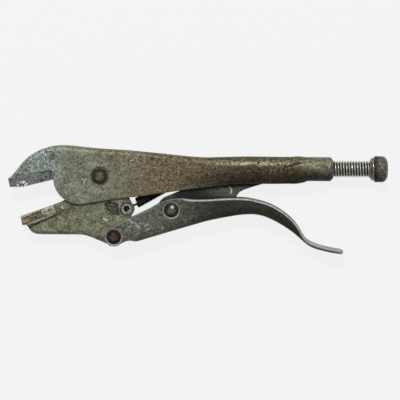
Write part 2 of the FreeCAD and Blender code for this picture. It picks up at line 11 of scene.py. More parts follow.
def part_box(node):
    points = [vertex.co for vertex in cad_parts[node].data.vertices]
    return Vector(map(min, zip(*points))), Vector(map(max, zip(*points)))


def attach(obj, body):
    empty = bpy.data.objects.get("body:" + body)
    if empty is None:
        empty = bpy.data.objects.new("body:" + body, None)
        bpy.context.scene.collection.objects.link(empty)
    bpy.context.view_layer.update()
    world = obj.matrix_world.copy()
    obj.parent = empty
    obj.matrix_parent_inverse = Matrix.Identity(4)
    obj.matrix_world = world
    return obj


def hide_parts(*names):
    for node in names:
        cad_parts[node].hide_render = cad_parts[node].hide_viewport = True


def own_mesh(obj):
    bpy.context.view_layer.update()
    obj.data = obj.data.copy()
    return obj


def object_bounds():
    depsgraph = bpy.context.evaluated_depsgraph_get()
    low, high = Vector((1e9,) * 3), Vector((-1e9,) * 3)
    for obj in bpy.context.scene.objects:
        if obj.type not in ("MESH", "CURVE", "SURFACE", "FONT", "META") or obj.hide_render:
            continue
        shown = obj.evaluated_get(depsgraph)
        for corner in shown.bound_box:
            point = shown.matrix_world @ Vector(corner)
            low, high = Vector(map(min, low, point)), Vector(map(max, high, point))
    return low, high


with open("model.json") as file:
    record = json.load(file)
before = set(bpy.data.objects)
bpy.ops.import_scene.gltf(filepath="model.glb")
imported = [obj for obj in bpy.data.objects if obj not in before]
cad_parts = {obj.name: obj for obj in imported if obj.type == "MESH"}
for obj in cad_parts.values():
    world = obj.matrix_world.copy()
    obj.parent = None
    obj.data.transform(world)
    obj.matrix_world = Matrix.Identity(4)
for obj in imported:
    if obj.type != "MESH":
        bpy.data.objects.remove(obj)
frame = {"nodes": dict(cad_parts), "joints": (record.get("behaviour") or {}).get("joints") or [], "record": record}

# Old locking pliers lying on their side on a pale floor, seen from straight above.
# +X runs from the jaws to the knob, +Y to the upper handle, +Z up towards the camera. Metres throughout.

CAD_LOW, CAD_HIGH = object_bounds()
MM = 0.001
MID_Z = 9 * MM          # the middle of the tool's thickness

BODY_OF = {node: body for body, nodes in frame["record"]["behaviour"]["bodies"].items() for node in nodes}
SLOT_OF = {part["node"]: part["material_slot"] for part in frame["record"]["subparts"]}
JOINTS = {joint["name"]: joint for joint in frame["joints"]}
JAW_PIVOT, HANDLE_PIVOT, LINK_PIVOT, SPRING_PIVOT = (
    JOINTS[j]["pos_m"] for j in ("jaw_swing", "lever_swing", "link_swing", "spring_swing"))


# ---------------------------------------------------------------- node material kit
class Nodes:
    """Short spellings for building one material's node tree."""

    def __init__(self, name):
        self.material = bpy.data.materials.new(name)
        self.material.use_nodes = True
        self.tree = self.material.node_tree
        self.tree.nodes.clear()
        self.shader = self.tree.nodes.new("ShaderNodeBsdfPrincipled")
        output = self.tree.nodes.new("ShaderNodeOutputMaterial")
        self.join(self.shader.outputs[0], output.inputs[0])
        self.place = self.tree.nodes.new("ShaderNodeTexCoord").outputs["Object"]

    def join(self, a, b):
        self.tree.links.new(a, b)

    def put(self, value, socket):
        """A socket's value, or a link into it."""
        if isinstance(value, bpy.types.NodeSocket):
            self.join(value, socket)
        else:
            socket.default_value = value

    def stretched(self, scale):
        """Object coordinates scaled unevenly."""
        node = self.tree.nodes.new("ShaderNodeMapping")
        node.inputs["Scale"].default_value = scale
        self.join(self.place, node.inputs["Vector"])
        return node.outputs[0]

    def turned(self, degrees, size):
        """Object coordinates turned about Z and divided by a size for each axis, for marks in one direction."""
        node = self.tree.nodes.new("ShaderNodeMapping")
        node.vector_type = "TEXTURE"
        node.inputs["Rotation"].default_value = (0, 0, math.radians(degrees))
        node.inputs["Scale"].default_value = size
        self.join(self.place, node.inputs["Vector"])
        return node.outputs[0]

    def noise(self, size, detail, rough=0.55, vector=None, distort=0.0):
        """Noise whose blotches are about size metres across."""
        node = self.tree.nodes.new("ShaderNodeTexNoise")
        node.inputs["Scale"].default_value = 1.0 / size
        node.inputs["Detail"].default_value = detail
        node.inputs["Roughness"].default_value = rough
        node.inputs["Distortion"].default_value = distort
        self.join(vector or self.place, node.inputs["Vector"])
        return node.outputs["Fac"]

    def ramp(self, value, low, high, start=0.0, end=1.0):
        """value from low..high mapped smoothly to start..end."""
        node = self.tree.nodes.new("ShaderNodeMapRange")
        node.interpolation_type = "SMOOTHSTEP"
        for socket, number in zip(node.inputs[1:5], (low, high, start, end)):
            socket.default_value = number
        self.join(value, node.inputs[0])
        return node.outputs[0]

    def math(self, operation, a, b):
        """Arithmetic on masks: sums, differences and products are held within 0..1."""
        node = self.tree.nodes.new("ShaderNodeMath")
        node.operation = operation
        node.use_clamp = operation in ("ADD", "MULTIPLY", "SUBTRACT")
        self.put(a, node.inputs[0])
        self.put(b, node.inputs[1])
        return node.outputs[0]

    def plain(self, operation, a, b=0.0):
        """Arithmetic whose result may leave 0..1."""
        node = self.tree.nodes.new("ShaderNodeMath")
        node.operation = operation
        self.put(a, node.inputs[0])
        if operation != "ABSOLUTE":
            self.put(b, node.inputs[1])
        return node.outputs[0]

    def times(self, first, *others):
        """The product of several masks."""
        for other in others:
            first = self.math("MULTIPLY", first, other)
        return first

    def axis(self, name):
        node = self.tree.nodes.new("ShaderNodeSeparateXYZ")
        self.join(self.place, node.inputs[0])
        return node.outputs[name]

    def wavy(self, name, size, detail, amount):
        """The place along an axis, straying by noise, so that a border drawn on it is uneven."""
        stray = self.plain("MULTIPLY", self.noise(size, detail, 0.6), amount)
        return self.plain("ADD", self.axis(name), stray)

    def rise(self, name, low, high, start=0.0, end=1.0):
        """start below low on the axis, end above high."""
        return self.ramp(self.axis(name), low, high, start, end)

    def fall(self, name, low, high):
        """1 below low on the axis, 0 above high."""
        return self.ramp(self.axis(name), low, high, 1.0, 0.0)

    def specks(self, size, detail, rough, low, high, start=0.0, end=1.0):
        """Noise of the size, cut off between two of its levels."""
        return self.ramp(self.noise(size, detail, rough), low, high, start, end)

    def from_axis(self, centre):
        """Distance in the side view from a pivot's axis."""
        x = self.plain("SUBTRACT", self.axis("X"), centre[0])
        y = self.plain("SUBTRACT", self.axis("Y"), centre[1])
        square = self.plain("ADD", self.plain("MULTIPLY", x, x), self.plain("MULTIPLY", y, y))
        return self.plain("POWER", square, 0.5)

    def mix(self, factor, a, b):
        node = self.tree.nodes.new("ShaderNodeMix")
        node.data_type = "RGBA"
        self.put(factor, node.inputs["Factor"])
        self.put((*a, 1.0) if isinstance(a, tuple) else a, node.inputs["A"])
        self.put((*b, 1.0) if isinstance(b, tuple) else b, node.inputs["B"])
        return node.outputs["Result"]

    def tint(self, colour, mask, strength, over):
        """colour, covered by another as far as the mask and the strength say."""
        return self.mix(self.math("MULTIPLY", mask, strength), colour, over)

    def attribute(self, name):
        node = self.tree.nodes.new("ShaderNodeAttribute")
        node.attribute_name = name
        return node.outputs["Fac"]

    def bump(self, height, strength, distance, under=None):
        node = self.tree.nodes.new("ShaderNodeBump")
        node.inputs["Strength"].default_value = strength
        node.inputs["Distance"].default_value = distance
        self.join(height, node.inputs["Height"])
        if under is not None:
            self.join(under, node.inputs["Normal"])
        return node.outputs[0]

    def finish(self, colour, rough, metallic, normal):
        self.put(colour, self.shader.inputs["Base Color"])
        self.put(rough, self.shader.inputs["Roughness"])
        self.put(metallic, self.shader.inputs["Metallic"])
        self.shader.inputs["Specular IOR Level"].default_value = 0.25
        self.join(normal, self.shader.inputs["Normal"])
        return self.material


def darker(tone, share):
    return tuple(c * share for c in tone)


def scratches(n, angles, length, width, amount):
    """Fine light scratches in several directions; amount is about the share of the surface they cover."""
    total = None
    for angle in angles:
        lines = n.noise(1.0, 2.0, 0.4, n.turned(angle, (length, width, length)))
        one = n.ramp(lines, 0.74 - amount, 0.80 - amount)
        total = one if total is None else n.math("MAXIMUM", total, one)
    return total


def disc(n, centre, radius, soft):
    """1 within a distance from a pivot's axis, fading over soft."""
    return n.ramp(n.from_axis(centre), radius, radius + soft, 1.0, 0.0)


def ring(n, centre, inner, outer, soft):
    """1 between two distances from a pivot's axis, fading over soft."""
    away = n.from_axis(centre)
    return n.times(n.ramp(away, inner - soft, inner), n.ramp(away, outer, outer + soft, 1.0, 0.0))


def stroke(n, start, end, half):
    """1 on a straight mark from start to end in the side view, in millimetres, half wide on each side."""
    ax, ay = (c * MM for c in start)
    bx, by = (c * MM for c in end)
    length = math.hypot(bx - ax, by - ay)
    ux, uy = (bx - ax) / length, (by - ay) / length
    x = n.plain("SUBTRACT", n.axis("X"), ax)
    y = n.plain("SUBTRACT", n.axis("Y"), ay)
    along = n.plain("ADD", n.plain("MULTIPLY", x, ux), n.plain("MULTIPLY", y, uy))
    aside = n.plain("ABSOLUTE", n.plain("SUBTRACT", n.plain("MULTIPLY", x, uy), n.plain("MULTIPLY", y, ux)))
    soft = 0.2 * MM      # how far each end fades
    return n.times(n.ramp(aside, half * MM, 1.6 * half * MM, 1.0, 0.0), n.ramp(along, -soft, soft),
                   n.ramp(along, length - soft, length + soft, 1.0, 0.0))


def strokes(n, colour, marks, half, strength, over):
    """Straight marks drawn over the colour, one after the other."""
    for start, end in marks:
        colour = n.tint(colour, stroke(n, start, end, half), strength, over)
    return colour


def old_steel(name, dark, light, rust_share, bright, wear, rust=(0.055, 0.034, 0.018), rough=0.5,
              metallic=0.35, spots=0.6, pit_share=0.8, streak=None, coarse=8 * MM,
              extra=None, last=None, over_all=None):
    """Worn, dirty plated steel: mottled tones, fine speckle, rust, pits, scratches and rubbed edges.
    streak is a direction in degrees for the mottling; extra(n, colour) adds what one piece alone shows,
    under the pits and specks, last(n, colour) what it shows over them, and over_all(n, colour) what also
    covers its rubbed edges."""
    n = Nodes(name)
    if streak is None:
        blotch = n.noise(coarse, 6.0, 0.62, distort=0.3)
    else:
        blotch = n.noise(1.0, 5.0, 0.6, n.turned(streak, (16 * MM, 2.2 * MM, 8 * MM)))
    fine = n.noise(1.9 * MM, 3.0, 0.7)
    sand = n.noise(1.1 * MM, 2.0, 0.6)
    tone = n.plain("ADD", n.plain("MULTIPLY", n.ramp(blotch, 0.38, 0.62), 0.36),
                   n.plain("ADD", n.plain("MULTIPLY", n.ramp(fine, 0.41, 0.59), 0.36),
                           n.plain("MULTIPLY", n.ramp(sand, 0.40, 0.60), 0.28)))
    colour = n.mix(tone, dark, light)
    # rust in soft patches
    patch = n.noise(13 * MM, 5.0, 0.6, distort=0.6)
    rusty = n.times(n.ramp(patch, 0.62 - 0.3 * rust_share, 0.75 - 0.25 * rust_share),
                    n.specks(1.7 * MM, 4.0, 0.7, 0.34, 0.58, 0.3, 1.0))
    colour = n.mix(rusty, colour, rust)
    if extra is not None:
        colour = extra(n, colour)
    # dark pits, light specks and scratches
    pits = n.specks(1.5 * MM, 3.0, 0.6, 0.56, 0.66)
    colour = n.tint(colour, pits, pit_share, darker(dark, 0.3))
    specks = n.ramp(n.noise(1.25 * MM, 2.0, 0.6, n.stretched((1.0, 1.3, 1.1))), 0.58, 0.68)
    colour = n.tint(colour, specks, spots, bright)
    colour = n.tint(colour, scratches(n, (12, -38, 64), 14 * MM, 0.25 * MM, 0.03), 0.6, bright)
    if last is not None:
        colour = last(n, colour)
    # metal rubbed bright along raised edges, dirt in the hollows
    broken = n.specks(1.8 * MM, 4.0, 0.65, 0.25, 0.55, 0.3, 1.0)
    rubbed = n.times(n.ramp(n.attribute("edge"), 0.08, 0.42), n.times(broken, wear))
    colour = n.mix(rubbed, colour, bright)
    dirt = n.ramp(n.attribute("hollow"), 0.04, 0.4)
    colour = n.tint(colour, dirt, 0.9, darker(dark, 0.2))
    if over_all is not None:
        colour = over_all(n, colour)
    roughness = n.math("ADD", n.ramp(fine, 0.3, 0.7, rough - 0.12, rough + 0.12), n.times(rusty, 0.2))
    roughness = n.math("SUBTRACT", roughness, n.times(rubbed, 0.16))
    normal = n.bump(n.noise(0.9 * MM, 3.0, 0.65), 0.55, 0.3 * MM)
    normal = n.bump(n.noise(4.5 * MM, 3.0, 0.5), 0.6, 0.6 * MM, normal)
    normal = n.bump(pits, -0.6, 0.12 * MM, normal)
    metal = n.math("SUBTRACT", n.math("ADD", metallic, n.times(rubbed, 0.3)), n.times(rusty, 0.3))
    return n.finish(colour, roughness, metal, normal)


# ---------------------------------------------------------------- what each piece alone shows
# Places in the side view. Strokes are (start, end) and spots are (x, y, size), both in millimetres.
FRONT_PIN, REAR_PIN = (-0.0310, 0.0125), (-0.0221, -0.0036)      # the upper jaw's two fixing pins
FORGED_HOLLOW = (0.0083, -0.0215)                                # in the lower jaw
CREASES = (((122.5, 5.6), (127.6, 7.6)), ((127.6, 7.6), (132.6, 8.6)))      # where the handle's tube begins
RUST_SPOTS = ((34.4, 11.6, 1.6), (58.7, 11.0, 1.2), (46.4, 12.6, 0.9), (53.2, 0.8, 0.9), (27.0, 12.6, 0.9))
HANDLE_SCRATCHES = (((-11.6, -1.5), (-9.9, -3.0)), ((-8.3, -1.4), (-9.9, -3.0)), ((-9.9, -3.0), (-10.0, -5.0)),
                    ((-19.6, -5.6), (-18.0, -4.9)), ((20.0, 10.0), (22.4, 10.5)))
LEVER_SCRATCHES = (((23.5, -32.0), (26.5, -33.6)), ((30.5, -35.6), (33.0, -34.2)),
                   ((20.0, -29.6), (24.5, -31.4)), ((40.6, -35.0), (41.8, -33.2)))
LEVER_SCUFF = ((17.0, -32.0), (36.0, -30.0))
LINK_CHIP = (((85.6, -7.4), (86.8, -9.2)), ((86.8, -9.2), (86.3, -12.0)))
PLATE_SEAM = ((-48.5, -34.4), (-28.0, -25.3))
JAW_HEEL = ((-29.5, -20.5), (-24.8, -24.5))
JAW_SCUFFS = (((-25.2, -20.0), (-24.2, -21.6)), ((12.8, -19.2), (16.2, -23.6)), ((2.0, -27.6), (5.0, -29.6)))
BITE_FRONT = ((-55.0, -5.2), (-47.5, -5.0))
BITE_REAR = ((-38.0, -23.0), (-30.0, -21.0))
BITE_SLOPE = 21         # degrees by which the lower jaw's plate leans
UPPER_JAW_SLOPE = 48    # degrees by which the upper jaw's streaks lean


def handle_marks(n, colour):
    """Bluish front, brown rear half, rust spots, painted shadow round the rivet's head and old scratches."""
    front = n.wavy("X", 9 * MM, 4.0, 0.024)
    blue = n.mix(n.specks(1.6 * MM, 3.0, 0.7, 0.4, 0.6), (0.085, 0.10, 0.09), (0.35, 0.40, 0.375))
    colour = n.mix(n.ramp(front, -0.024, -0.006, 0.85, 0.0), colour, blue)
    speckle = n.specks(1.7 * MM, 4.0, 0.7, 0.40, 0.60)
    brown = n.mix(speckle, (0.056, 0.035, 0.014), (0.222, 0.168, 0.092))
    rosy = n.specks(5.0 * MM, 3.0, 0.6, 0.56, 0.68)
    brown = n.tint(brown, rosy, 0.55, (0.085, 0.038, 0.014))
    far = n.wavy("X", 22 * MM, 4.0, 0.05)
    deep = n.mix(speckle, (0.012, 0.007, 0.002), (0.118, 0.084, 0.036))
    brown = n.mix(n.ramp(far, 0.075, 0.125), brown, deep)
    rear_half = n.ramp(far, 0.022, 0.062, 0.0, 0.92)
    tube = n.ramp(far, 0.150, 0.168, 0.0, 0.55)
    colour = n.mix(n.math("SUBTRACT", rear_half, tube), colour, brown)
    for x, y, size in RUST_SPOTS:
        colour = n.tint(colour, disc(n, (x * MM, y * MM), 0.3 * MM, size * MM), 0.95, (0.050, 0.018, 0.005))
    # painted shadow: a dark ring on the handle round the jaw rivet's proud head
    colour = n.tint(colour, disc(n, JAW_PIVOT, 5.6 * MM, 1.4 * MM), 0.8, (0.03, 0.026, 0.018))
    return strokes(n, colour, HANDLE_SCRATCHES, 0.22, 0.7, (0.62, 0.62, 0.56))


def handle_shade(n, colour):
    """Painted shade on the lower flank of the rear half, a painted highlight along the crest above it, and painted
    shade in the creases where the tube begins.
    """
    low = n.wavy("Y", 9 * MM, 3.0, 0.006)
    # painted shade: the rear half's lower flank darkened as if turned away from the light
    flank = n.times(n.ramp(low, -0.001, 0.0105, 1.0, 0.0), n.rise("X", 0.035, 0.090),
                    n.specks(2.2 * MM, 3.0, 0.6, 0.3, 0.55, 0.8, 1.0))
    colour = n.tint(colour, flank, 0.93, (0.011, 0.007, 0.003))
    # painted highlight: a bright band along the rounded top where the light glints
    crest = n.times(n.rise("Y", 0.0062, 0.0082), n.fall("Y", 0.0092, 0.0112), n.rise("X", 0.065, 0.085),
                    n.specks(1.6 * MM, 3.0, 0.7, 0.46, 0.58))
    colour = n.tint(colour, crest, 0.7, (0.42, 0.37, 0.26))
    # painted shade: dark lines in the creases where the tube begins
    return strokes(n, colour, CREASES, 0.5, 0.85, (0.012, 0.008, 0.005))


def lever_marks(n, colour):
    """Olive front with a long scuff, and shiny patches."""
    olive = n.mix(n.specks(1.8 * MM, 3.0, 0.6, 0.4, 0.6), (0.031, 0.031, 0.018), (0.168, 0.170, 0.112))
    colour = n.mix(n.rise("X", 0.018, 0.034, 0.6, 0.0), colour, olive)
    scuff = n.times(stroke(n, *LEVER_SCUFF, 3.4), n.specks(2.6 * MM, 4.0, 0.7, 0.5, 0.62))
    colour = n.tint(colour, scuff, 0.6, (0.36, 0.39, 0.38))
    shiny = n.times(n.specks(2.4 * MM, 4.0, 0.7, 0.55, 0.68), n.rise("X", 0.052, 0.075, 1.0, 0.25))
    return n.tint(colour, shiny, 0.5, (0.28, 0.30, 0.26))


def lever_shade(n, colour):
    """Darker rear, painted light on the upper side of the curled end, a painted highlight along the sheet's top
    edge under a line of painted shade, rubbed rims round two rivets and old scratches."""
    colour = n.mix(n.rise("X", 0.040, 0.080, 0.0, 0.84), colour, (0.009, 0.012, 0.007))
    inset = n.attribute("inset")
    # painted light: the curled end's upper side made pale as if lit from above
    curled = n.times(n.ramp(inset, 0.34, 0.46, 1.0, 0.0), n.times(n.rise("X", 0.131, 0.137), 0.85))
    colour = n.mix(curled, colour, (0.30, 0.33, 0.31))
    # painted highlight along the side sheet's rounded top edge
    line = n.times(n.ramp(inset, 0.07, 0.13), n.ramp(inset, 0.24, 0.32, 1.0, 0.0),
                   n.rise("X", 0.050, 0.060), n.specks(3.0 * MM, 3.0, 0.6, 0.3, 0.5, 0.55, 1.0))
    colour = n.tint(colour, line, 0.9, (0.50, 0.52, 0.47))
    # painted shade: a dark line just inside the outline, above the bright one
    outer = n.times(n.ramp(inset, 0.02, 0.08, 1.0, 0.0), n.rise("X", 0.080, 0.095), n.fall("X", 0.128, 0.136))
    colour = n.tint(colour, outer, 0.9, (0.006, 0.007, 0.006))
    for pivot in (HANDLE_PIVOT, LINK_PIVOT):
        rim = n.times(ring(n, pivot, 5.0 * MM, 5.5 * MM, 0.3 * MM),
                      n.specks(1.8 * MM, 3.0, 0.6, 0.3, 0.5, 0.35, 1.0))
        colour = n.tint(colour, rim, 0.75, (0.42, 0.42, 0.36))
    return strokes(n, colour, LEVER_SCRATCHES, 0.25, 0.7, (0.45, 0.47, 0.44))


def link_marks(n, colour):
    """Painted shadow towards the rivet and along the top, where the handle shades the link, painted shade at the
    foot along the lever's edge, and a light chip near the shoulder.
    """
    # painted shadow: the handle's shadow darkens the link towards its rivet
    handle_shadow = n.times(n.fall("X", 0.062, 0.084), n.rise("X", 0.045, 0.052, 0.4, 1.0))
    colour = n.tint(colour, handle_shadow, 0.9, (0.004, 0.004, 0.004))
    # painted shadow along the top, under the handle
    colour = n.mix(n.rise("Y", -0.0100, -0.0055, 0.0, 0.85), colour, (0.010, 0.010, 0.009))
    # painted shade along the foot, by the lever's edge
    foot = n.times(n.fall("Y", -0.0148, -0.0128), n.rise("X", 0.055, 0.060))
    colour = n.tint(colour, foot, 0.9, (0.006, 0.006, 0.005))
    return strokes(n, colour, LINK_CHIP, 0.25, 0.85, (0.6, 0.6, 0.55))


def lower_jaw_marks(n, colour):
    """A painted shadow along the plate's seam, darker at the heel, painted shade round the spring's pin and in the
    forged hollow; scuffs.
    """
    # painted shadow under the proud plate, along its seam
    colour = n.tint(colour, stroke(n, *PLATE_SEAM, 0.75), 0.85, (0.02, 0.018, 0.013))
    heel = n.times(stroke(n, *JAW_HEEL, 1.6), n.specks(2.2 * MM, 3.0, 0.6, 0.4, 0.6))
    colour = n.mix(heel, colour, (0.03, 0.027, 0.02))
    colour = strokes(n, colour, JAW_SCUFFS, 0.6, 0.7, (0.5, 0.5, 0.44))
    # painted shade: a dark ring round the spring's pin
    pin_shade = ring(n, SPRING_PIVOT, 3.7 * MM, 4.6 * MM, 0.4 * MM)
    colour = n.tint(colour, pin_shade, 0.8, (0.016, 0.015, 0.011))
    # painted shade in the forged hollow
    return n.tint(colour, disc(n, FORGED_HOLLOW, 3.6 * MM, 2.6 * MM), 0.7, (0.018, 0.016, 0.012))


def upper_plate_marks(n, colour):
    """White chips near the front of the bite."""
    chips = n.times(n.specks(1.6 * MM, 2.0, 0.5, 0.5, 0.6), stroke(n, *BITE_FRONT, 1.3))
    return n.mix(chips, colour, (0.75, 0.76, 0.74))


def lower_plate_marks(n, colour):
    """Long dark and bright scores, and a chipped, shiny patch near the back of the bite."""
    scores = n.noise(1.0, 3.0, 0.5, n.turned(BITE_SLOPE, (18 * MM, 1.1 * MM, 8 * MM)))
    colour = n.mix(n.ramp(scores, 0.52, 0.60, 0.0, 0.85), colour, (0.014, 0.009, 0.005))
    colour = n.mix(n.ramp(scores, 0.40, 0.46, 0.75, 0.0), colour, (0.42, 0.38, 0.28))
    chips = n.times(n.specks(1.8 * MM, 2.0, 0.5, 0.5, 0.6), stroke(n, *BITE_REAR, 2.2))
    return n.mix(chips, colour, (0.55, 0.54, 0.48))


RIVET_TONES = (         # where, dark tone, worn middle, strength
    (JAW_PIVOT, (0.03, 0.025, 0.014), (0.13, 0.11, 0.068), 0.9),
    (HANDLE_PIVOT, (0.004, 0.003, 0.002), (0.085, 0.045, 0.018), 0.97),
    (LINK_PIVOT, (0.016, 0.013, 0.007), (0.12, 0.10, 0.058), 0.93))
PIN_TONES = (           # where, dark tone, light tone
    (FRONT_PIN, (0.05, 0.05, 0.036), (0.15, 0.155, 0.12)),
    (REAR_PIN, (0.09, 0.075, 0.04), (0.24, 0.21, 0.13)))


def rivet_marks(n, colour):
    """Each rivet's own colour with a dark rim and a worn middle, and a painted highlight on the link's domed head.
    """
    grit = n.specks(1.3 * MM, 3.0, 0.6, 0.42, 0.58)
    for pivot, dark, core, strength in RIVET_TONES:
        colour = n.tint(colour, disc(n, pivot, 5.4 * MM, 0.2 * MM), strength, n.mix(grit, dark, core))
        rim = ring(n, pivot, 3.3 * MM, 5.2 * MM, 1.0 * MM)
        colour = n.tint(colour, rim, strength, darker(dark, 0.4))
        colour = n.tint(colour, disc(n, pivot, 1.0 * MM, 1.4 * MM), 0.6, core)
    for pin, dark, light in PIN_TONES:
        colour = n.tint(colour, disc(n, pin, 2.2 * MM, 0.2 * MM), 0.9, n.mix(grit, dark, light))
    # painted highlight: a glint off the link rivet's domed head
    dome_highlight = disc(n, (LINK_PIVOT[0] + 0.7 * MM, LINK_PIVOT[1] + 2.0 * MM), 0.5 * MM, 1.1 * MM)
    return n.mix(dome_highlight, colour, (0.62, 0.60, 0.50))


def pin_marks(n, colour):
    """Painted shade in the bore and a dark line of painted shade where the pin sits in the jaw."""
    # painted shade: the blind bore made black as if unlit
    colour = n.mix(disc(n, SPRING_PIVOT, 1.75 * MM, 0.3 * MM), colour, (0.004, 0.004, 0.003))
    # painted shade: a dark line round the pin where it sits in the jaw
    outline = ring(n, SPRING_PIVOT, 3.45 * MM, 3.9 * MM, 0.3 * MM)
    return n.tint(colour, outline, 0.8, (0.02, 0.02, 0.015))


def knob_marks(n, colour):
    """Brownish grey knob, darker at its front end, with painted shade at its rounded end and along its underside,
    behind a darker cone.
    """
    cone = n.times(n.rise("X", 0.1768, 0.1776), n.specks(1.5 * MM, 3.0, 0.6, 0.4, 0.6, 0.4, 1.0))
    colour = n.tint(colour, cone, 0.6, (0.030, 0.028, 0.018))
    knob = n.rise("X", 0.1800, 0.1812)
    grit = n.specks(1.2 * MM, 3.0, 0.6, 0.40, 0.60)
    colour = n.tint(colour, knob, 0.72, n.mix(grit, (0.036, 0.030, 0.017), (0.225, 0.205, 0.140)))
    front = n.times(knob, n.fall("X", 0.1815, 0.1843))
    colour = n.tint(colour, front, 0.8, (0.012, 0.012, 0.009))
    # painted shade on the knob's rounded end
    colour = n.tint(colour, n.rise("X", 0.1882, 0.1890), 0.85, (0.010, 0.010, 0.008))
    # painted shade along the knob's underside
    below = n.times(knob, n.fall("Y", -0.0035, 0.0020))
    return n.tint(colour, below, 0.7, (0.014, 0.013, 0.009))


LOOKS = {
    "handle_steel": dict(
        dark=(0.072, 0.074, 0.045), light=(0.29, 0.30, 0.215), bright=(0.50, 0.49, 0.42),
        rust=(0.085, 0.068, 0.038), rust_share=0.35, wear=0.5, spots=0.45, pit_share=0.6,
        extra=handle_marks, last=handle_shade),
    "upper_jaw_steel": dict(
        dark=(0.080, 0.092, 0.078), light=(0.325, 0.375, 0.335), bright=(0.60, 0.66, 0.64),
        rust_share=0.1, wear=0.9, rough=0.4, metallic=0.5, streak=UPPER_JAW_SLOPE),
    "lower_jaw_steel": dict(
        dark=(0.070, 0.073, 0.040), light=(0.25, 0.258, 0.165), bright=(0.50, 0.50, 0.40),
        rust=(0.10, 0.078, 0.036), rust_share=0.3, wear=0.4, rough=0.48, spots=0.5,
        extra=lower_jaw_marks),
    "upper_plate_steel": dict(
        dark=(0.04, 0.045, 0.042), light=(0.20, 0.22, 0.21), bright=(0.38, 0.41, 0.39),
        rust_share=0.2, wear=0.7, extra=upper_plate_marks),
    "lower_plate_steel": dict(
        dark=(0.010, 0.007, 0.004), light=(0.29, 0.245, 0.155), bright=(0.50, 0.46, 0.37),
        rust=(0.075, 0.038, 0.017), rust_share=0.4, wear=0.5, streak=BITE_SLOPE,
        extra=lower_plate_marks),
    "lever_steel": dict(
        dark=(0.031, 0.034, 0.021), light=(0.135, 0.143, 0.098), bright=(0.38, 0.42, 0.37),
        rust=(0.05, 0.044, 0.026), rust_share=0.25, wear=0.8, rough=0.46, metallic=0.3, spots=0.3,
        extra=lever_marks, last=lever_shade),
    "link_steel": dict(
        dark=(0.024, 0.025, 0.016), light=(0.108, 0.110, 0.074), bright=(0.30, 0.31, 0.27),
        rust=(0.05, 0.035, 0.018), rust_share=0.4, wear=0.4, metallic=0.25, spots=0.3,
        last=link_marks),
    "rivet_steel": dict(
        dark=(0.06, 0.045, 0.03), light=(0.21, 0.165, 0.115), bright=(0.42, 0.38, 0.29),
        rust_share=0.5, wear=0.3, rough=0.45, metallic=0.25, spots=0.3, coarse=3 * MM,
        last=rivet_marks),
    "pin_steel": dict(
        dark=(0.10, 0.10, 0.085), light=(0.34, 0.35, 0.31), bright=(0.6, 0.6, 0.54),
        rust_share=0.15, wear=0.7, rough=0.4, coarse=3 * MM, extra=pin_marks),
    "spring_steel": dict(
        dark=(0.003, 0.003, 0.003), light=(0.014, 0.014, 0.014), bright=(0.05, 0.05, 0.05),
        rust_share=0.1, wear=0.3, metallic=0.1, spots=0.1),
    "screw_steel": dict(
        dark=(0.045, 0.045, 0.032), light=(0.29, 0.29, 0.225), bright=(0.74, 0.74, 0.66),
        rust_share=0.3, wear=1.0, rough=0.36, metallic=0.5, spots=0.3, coarse=4 * MM,
        over_all=knob_marks),
}
MATERIALS = {name: old_steel(name, **look) for name, look in LOOKS.items()}


# ---------------------------------------------------------------- mesh kit
RELIEF_REACH = 6        # rounds of smoothing that say how wide a point's surroundings are


def mesh_arrays(mesh):
    points = np.empty(len(mesh.vertices) * 3)
    mesh.vertices.foreach_get("co", points)
    edges = np.empty(len(mesh.edges) * 2, np.int64)
    mesh.edges.foreach_get("vertices", edges)
    return points.reshape(-1, 3), edges.reshape(-1, 2)


def mesh_normals(mesh):
    normals = np.empty(len(mesh.vertices) * 3)
    mesh.vertex_normals.foreach_get("vector", normals)
    return normals.reshape(-1, 3)


def move_points(mesh, points):
    mesh.vertices.foreach_set("co", points.ravel())
    mesh.update()


def store_share(mesh, name, share):
    """Keeps one number for each point, for the materials to read."""
    mesh.attributes.new(name, "FLOAT", "POINT").data.foreach_set("value", share)


def neighbour_count(points, edges):
    return np.maximum(np.bincount(edges.ravel(), minlength=len(points)), 1)[:, None].astype(float)


def neighbour_mean(values, edges, count):
    total = np.zeros_like(values)
    for a, b in ((0, 1), (1, 0)):
        np.add.at(total, edges[:, a], values[edges[:, b]])
    return total / count


def mark_relief(mesh, reach):
    """Stores how far each point stands above or below its surroundings, as the attributes edge and hollow.
    reach is the number of smoothing rounds that say how wide the surroundings are."""
    points, edges = mesh_arrays(mesh)
    count = neighbour_count(points, edges)
    smooth = points.copy()
    for _ in range(reach):
        smooth = neighbour_mean(smooth, edges, count)
    height = ((points - smooth) * mesh_normals(mesh)).sum(1)
    step = np.linalg.norm(points[edges[:, 0]] - points[edges[:, 1]], axis=1).mean()
    full = 0.8 * step * math.sqrt(reach)        # the height that counts as 1
    for name, side in (("edge", 1.0), ("hollow", -1.0)):
        store_share(mesh, name, np.clip(side * height / full, 0, 1).astype(np.float32))


def wear_down(mesh, rounds, dents, size):
    """Softens the edges by rounds of smoothing and beats shallow dents into the surface, only ever inwards."""
    points, edges = mesh_arrays(mesh)
    count = neighbour_count(points, edges)
    for _ in range(rounds):
        points = points * 0.5 + neighbour_mean(points, edges, count) * 0.5
    move_points(mesh, points)
    depth = np.array([max(0.0, noise.noise(Vector(p) / size)) for p in points])
    move_points(mesh, points - mesh_normals(mesh) * (depth * dents)[:, None])


def side_view_tree(points, chosen):
    """Finds the nearest of the chosen points as seen from the side."""
    tree = KDTree(len(chosen))
    for i, index in enumerate(chosen):
        tree.insert((points[index][0], points[index][1], 0.0), i)
    tree.balance()
    return tree


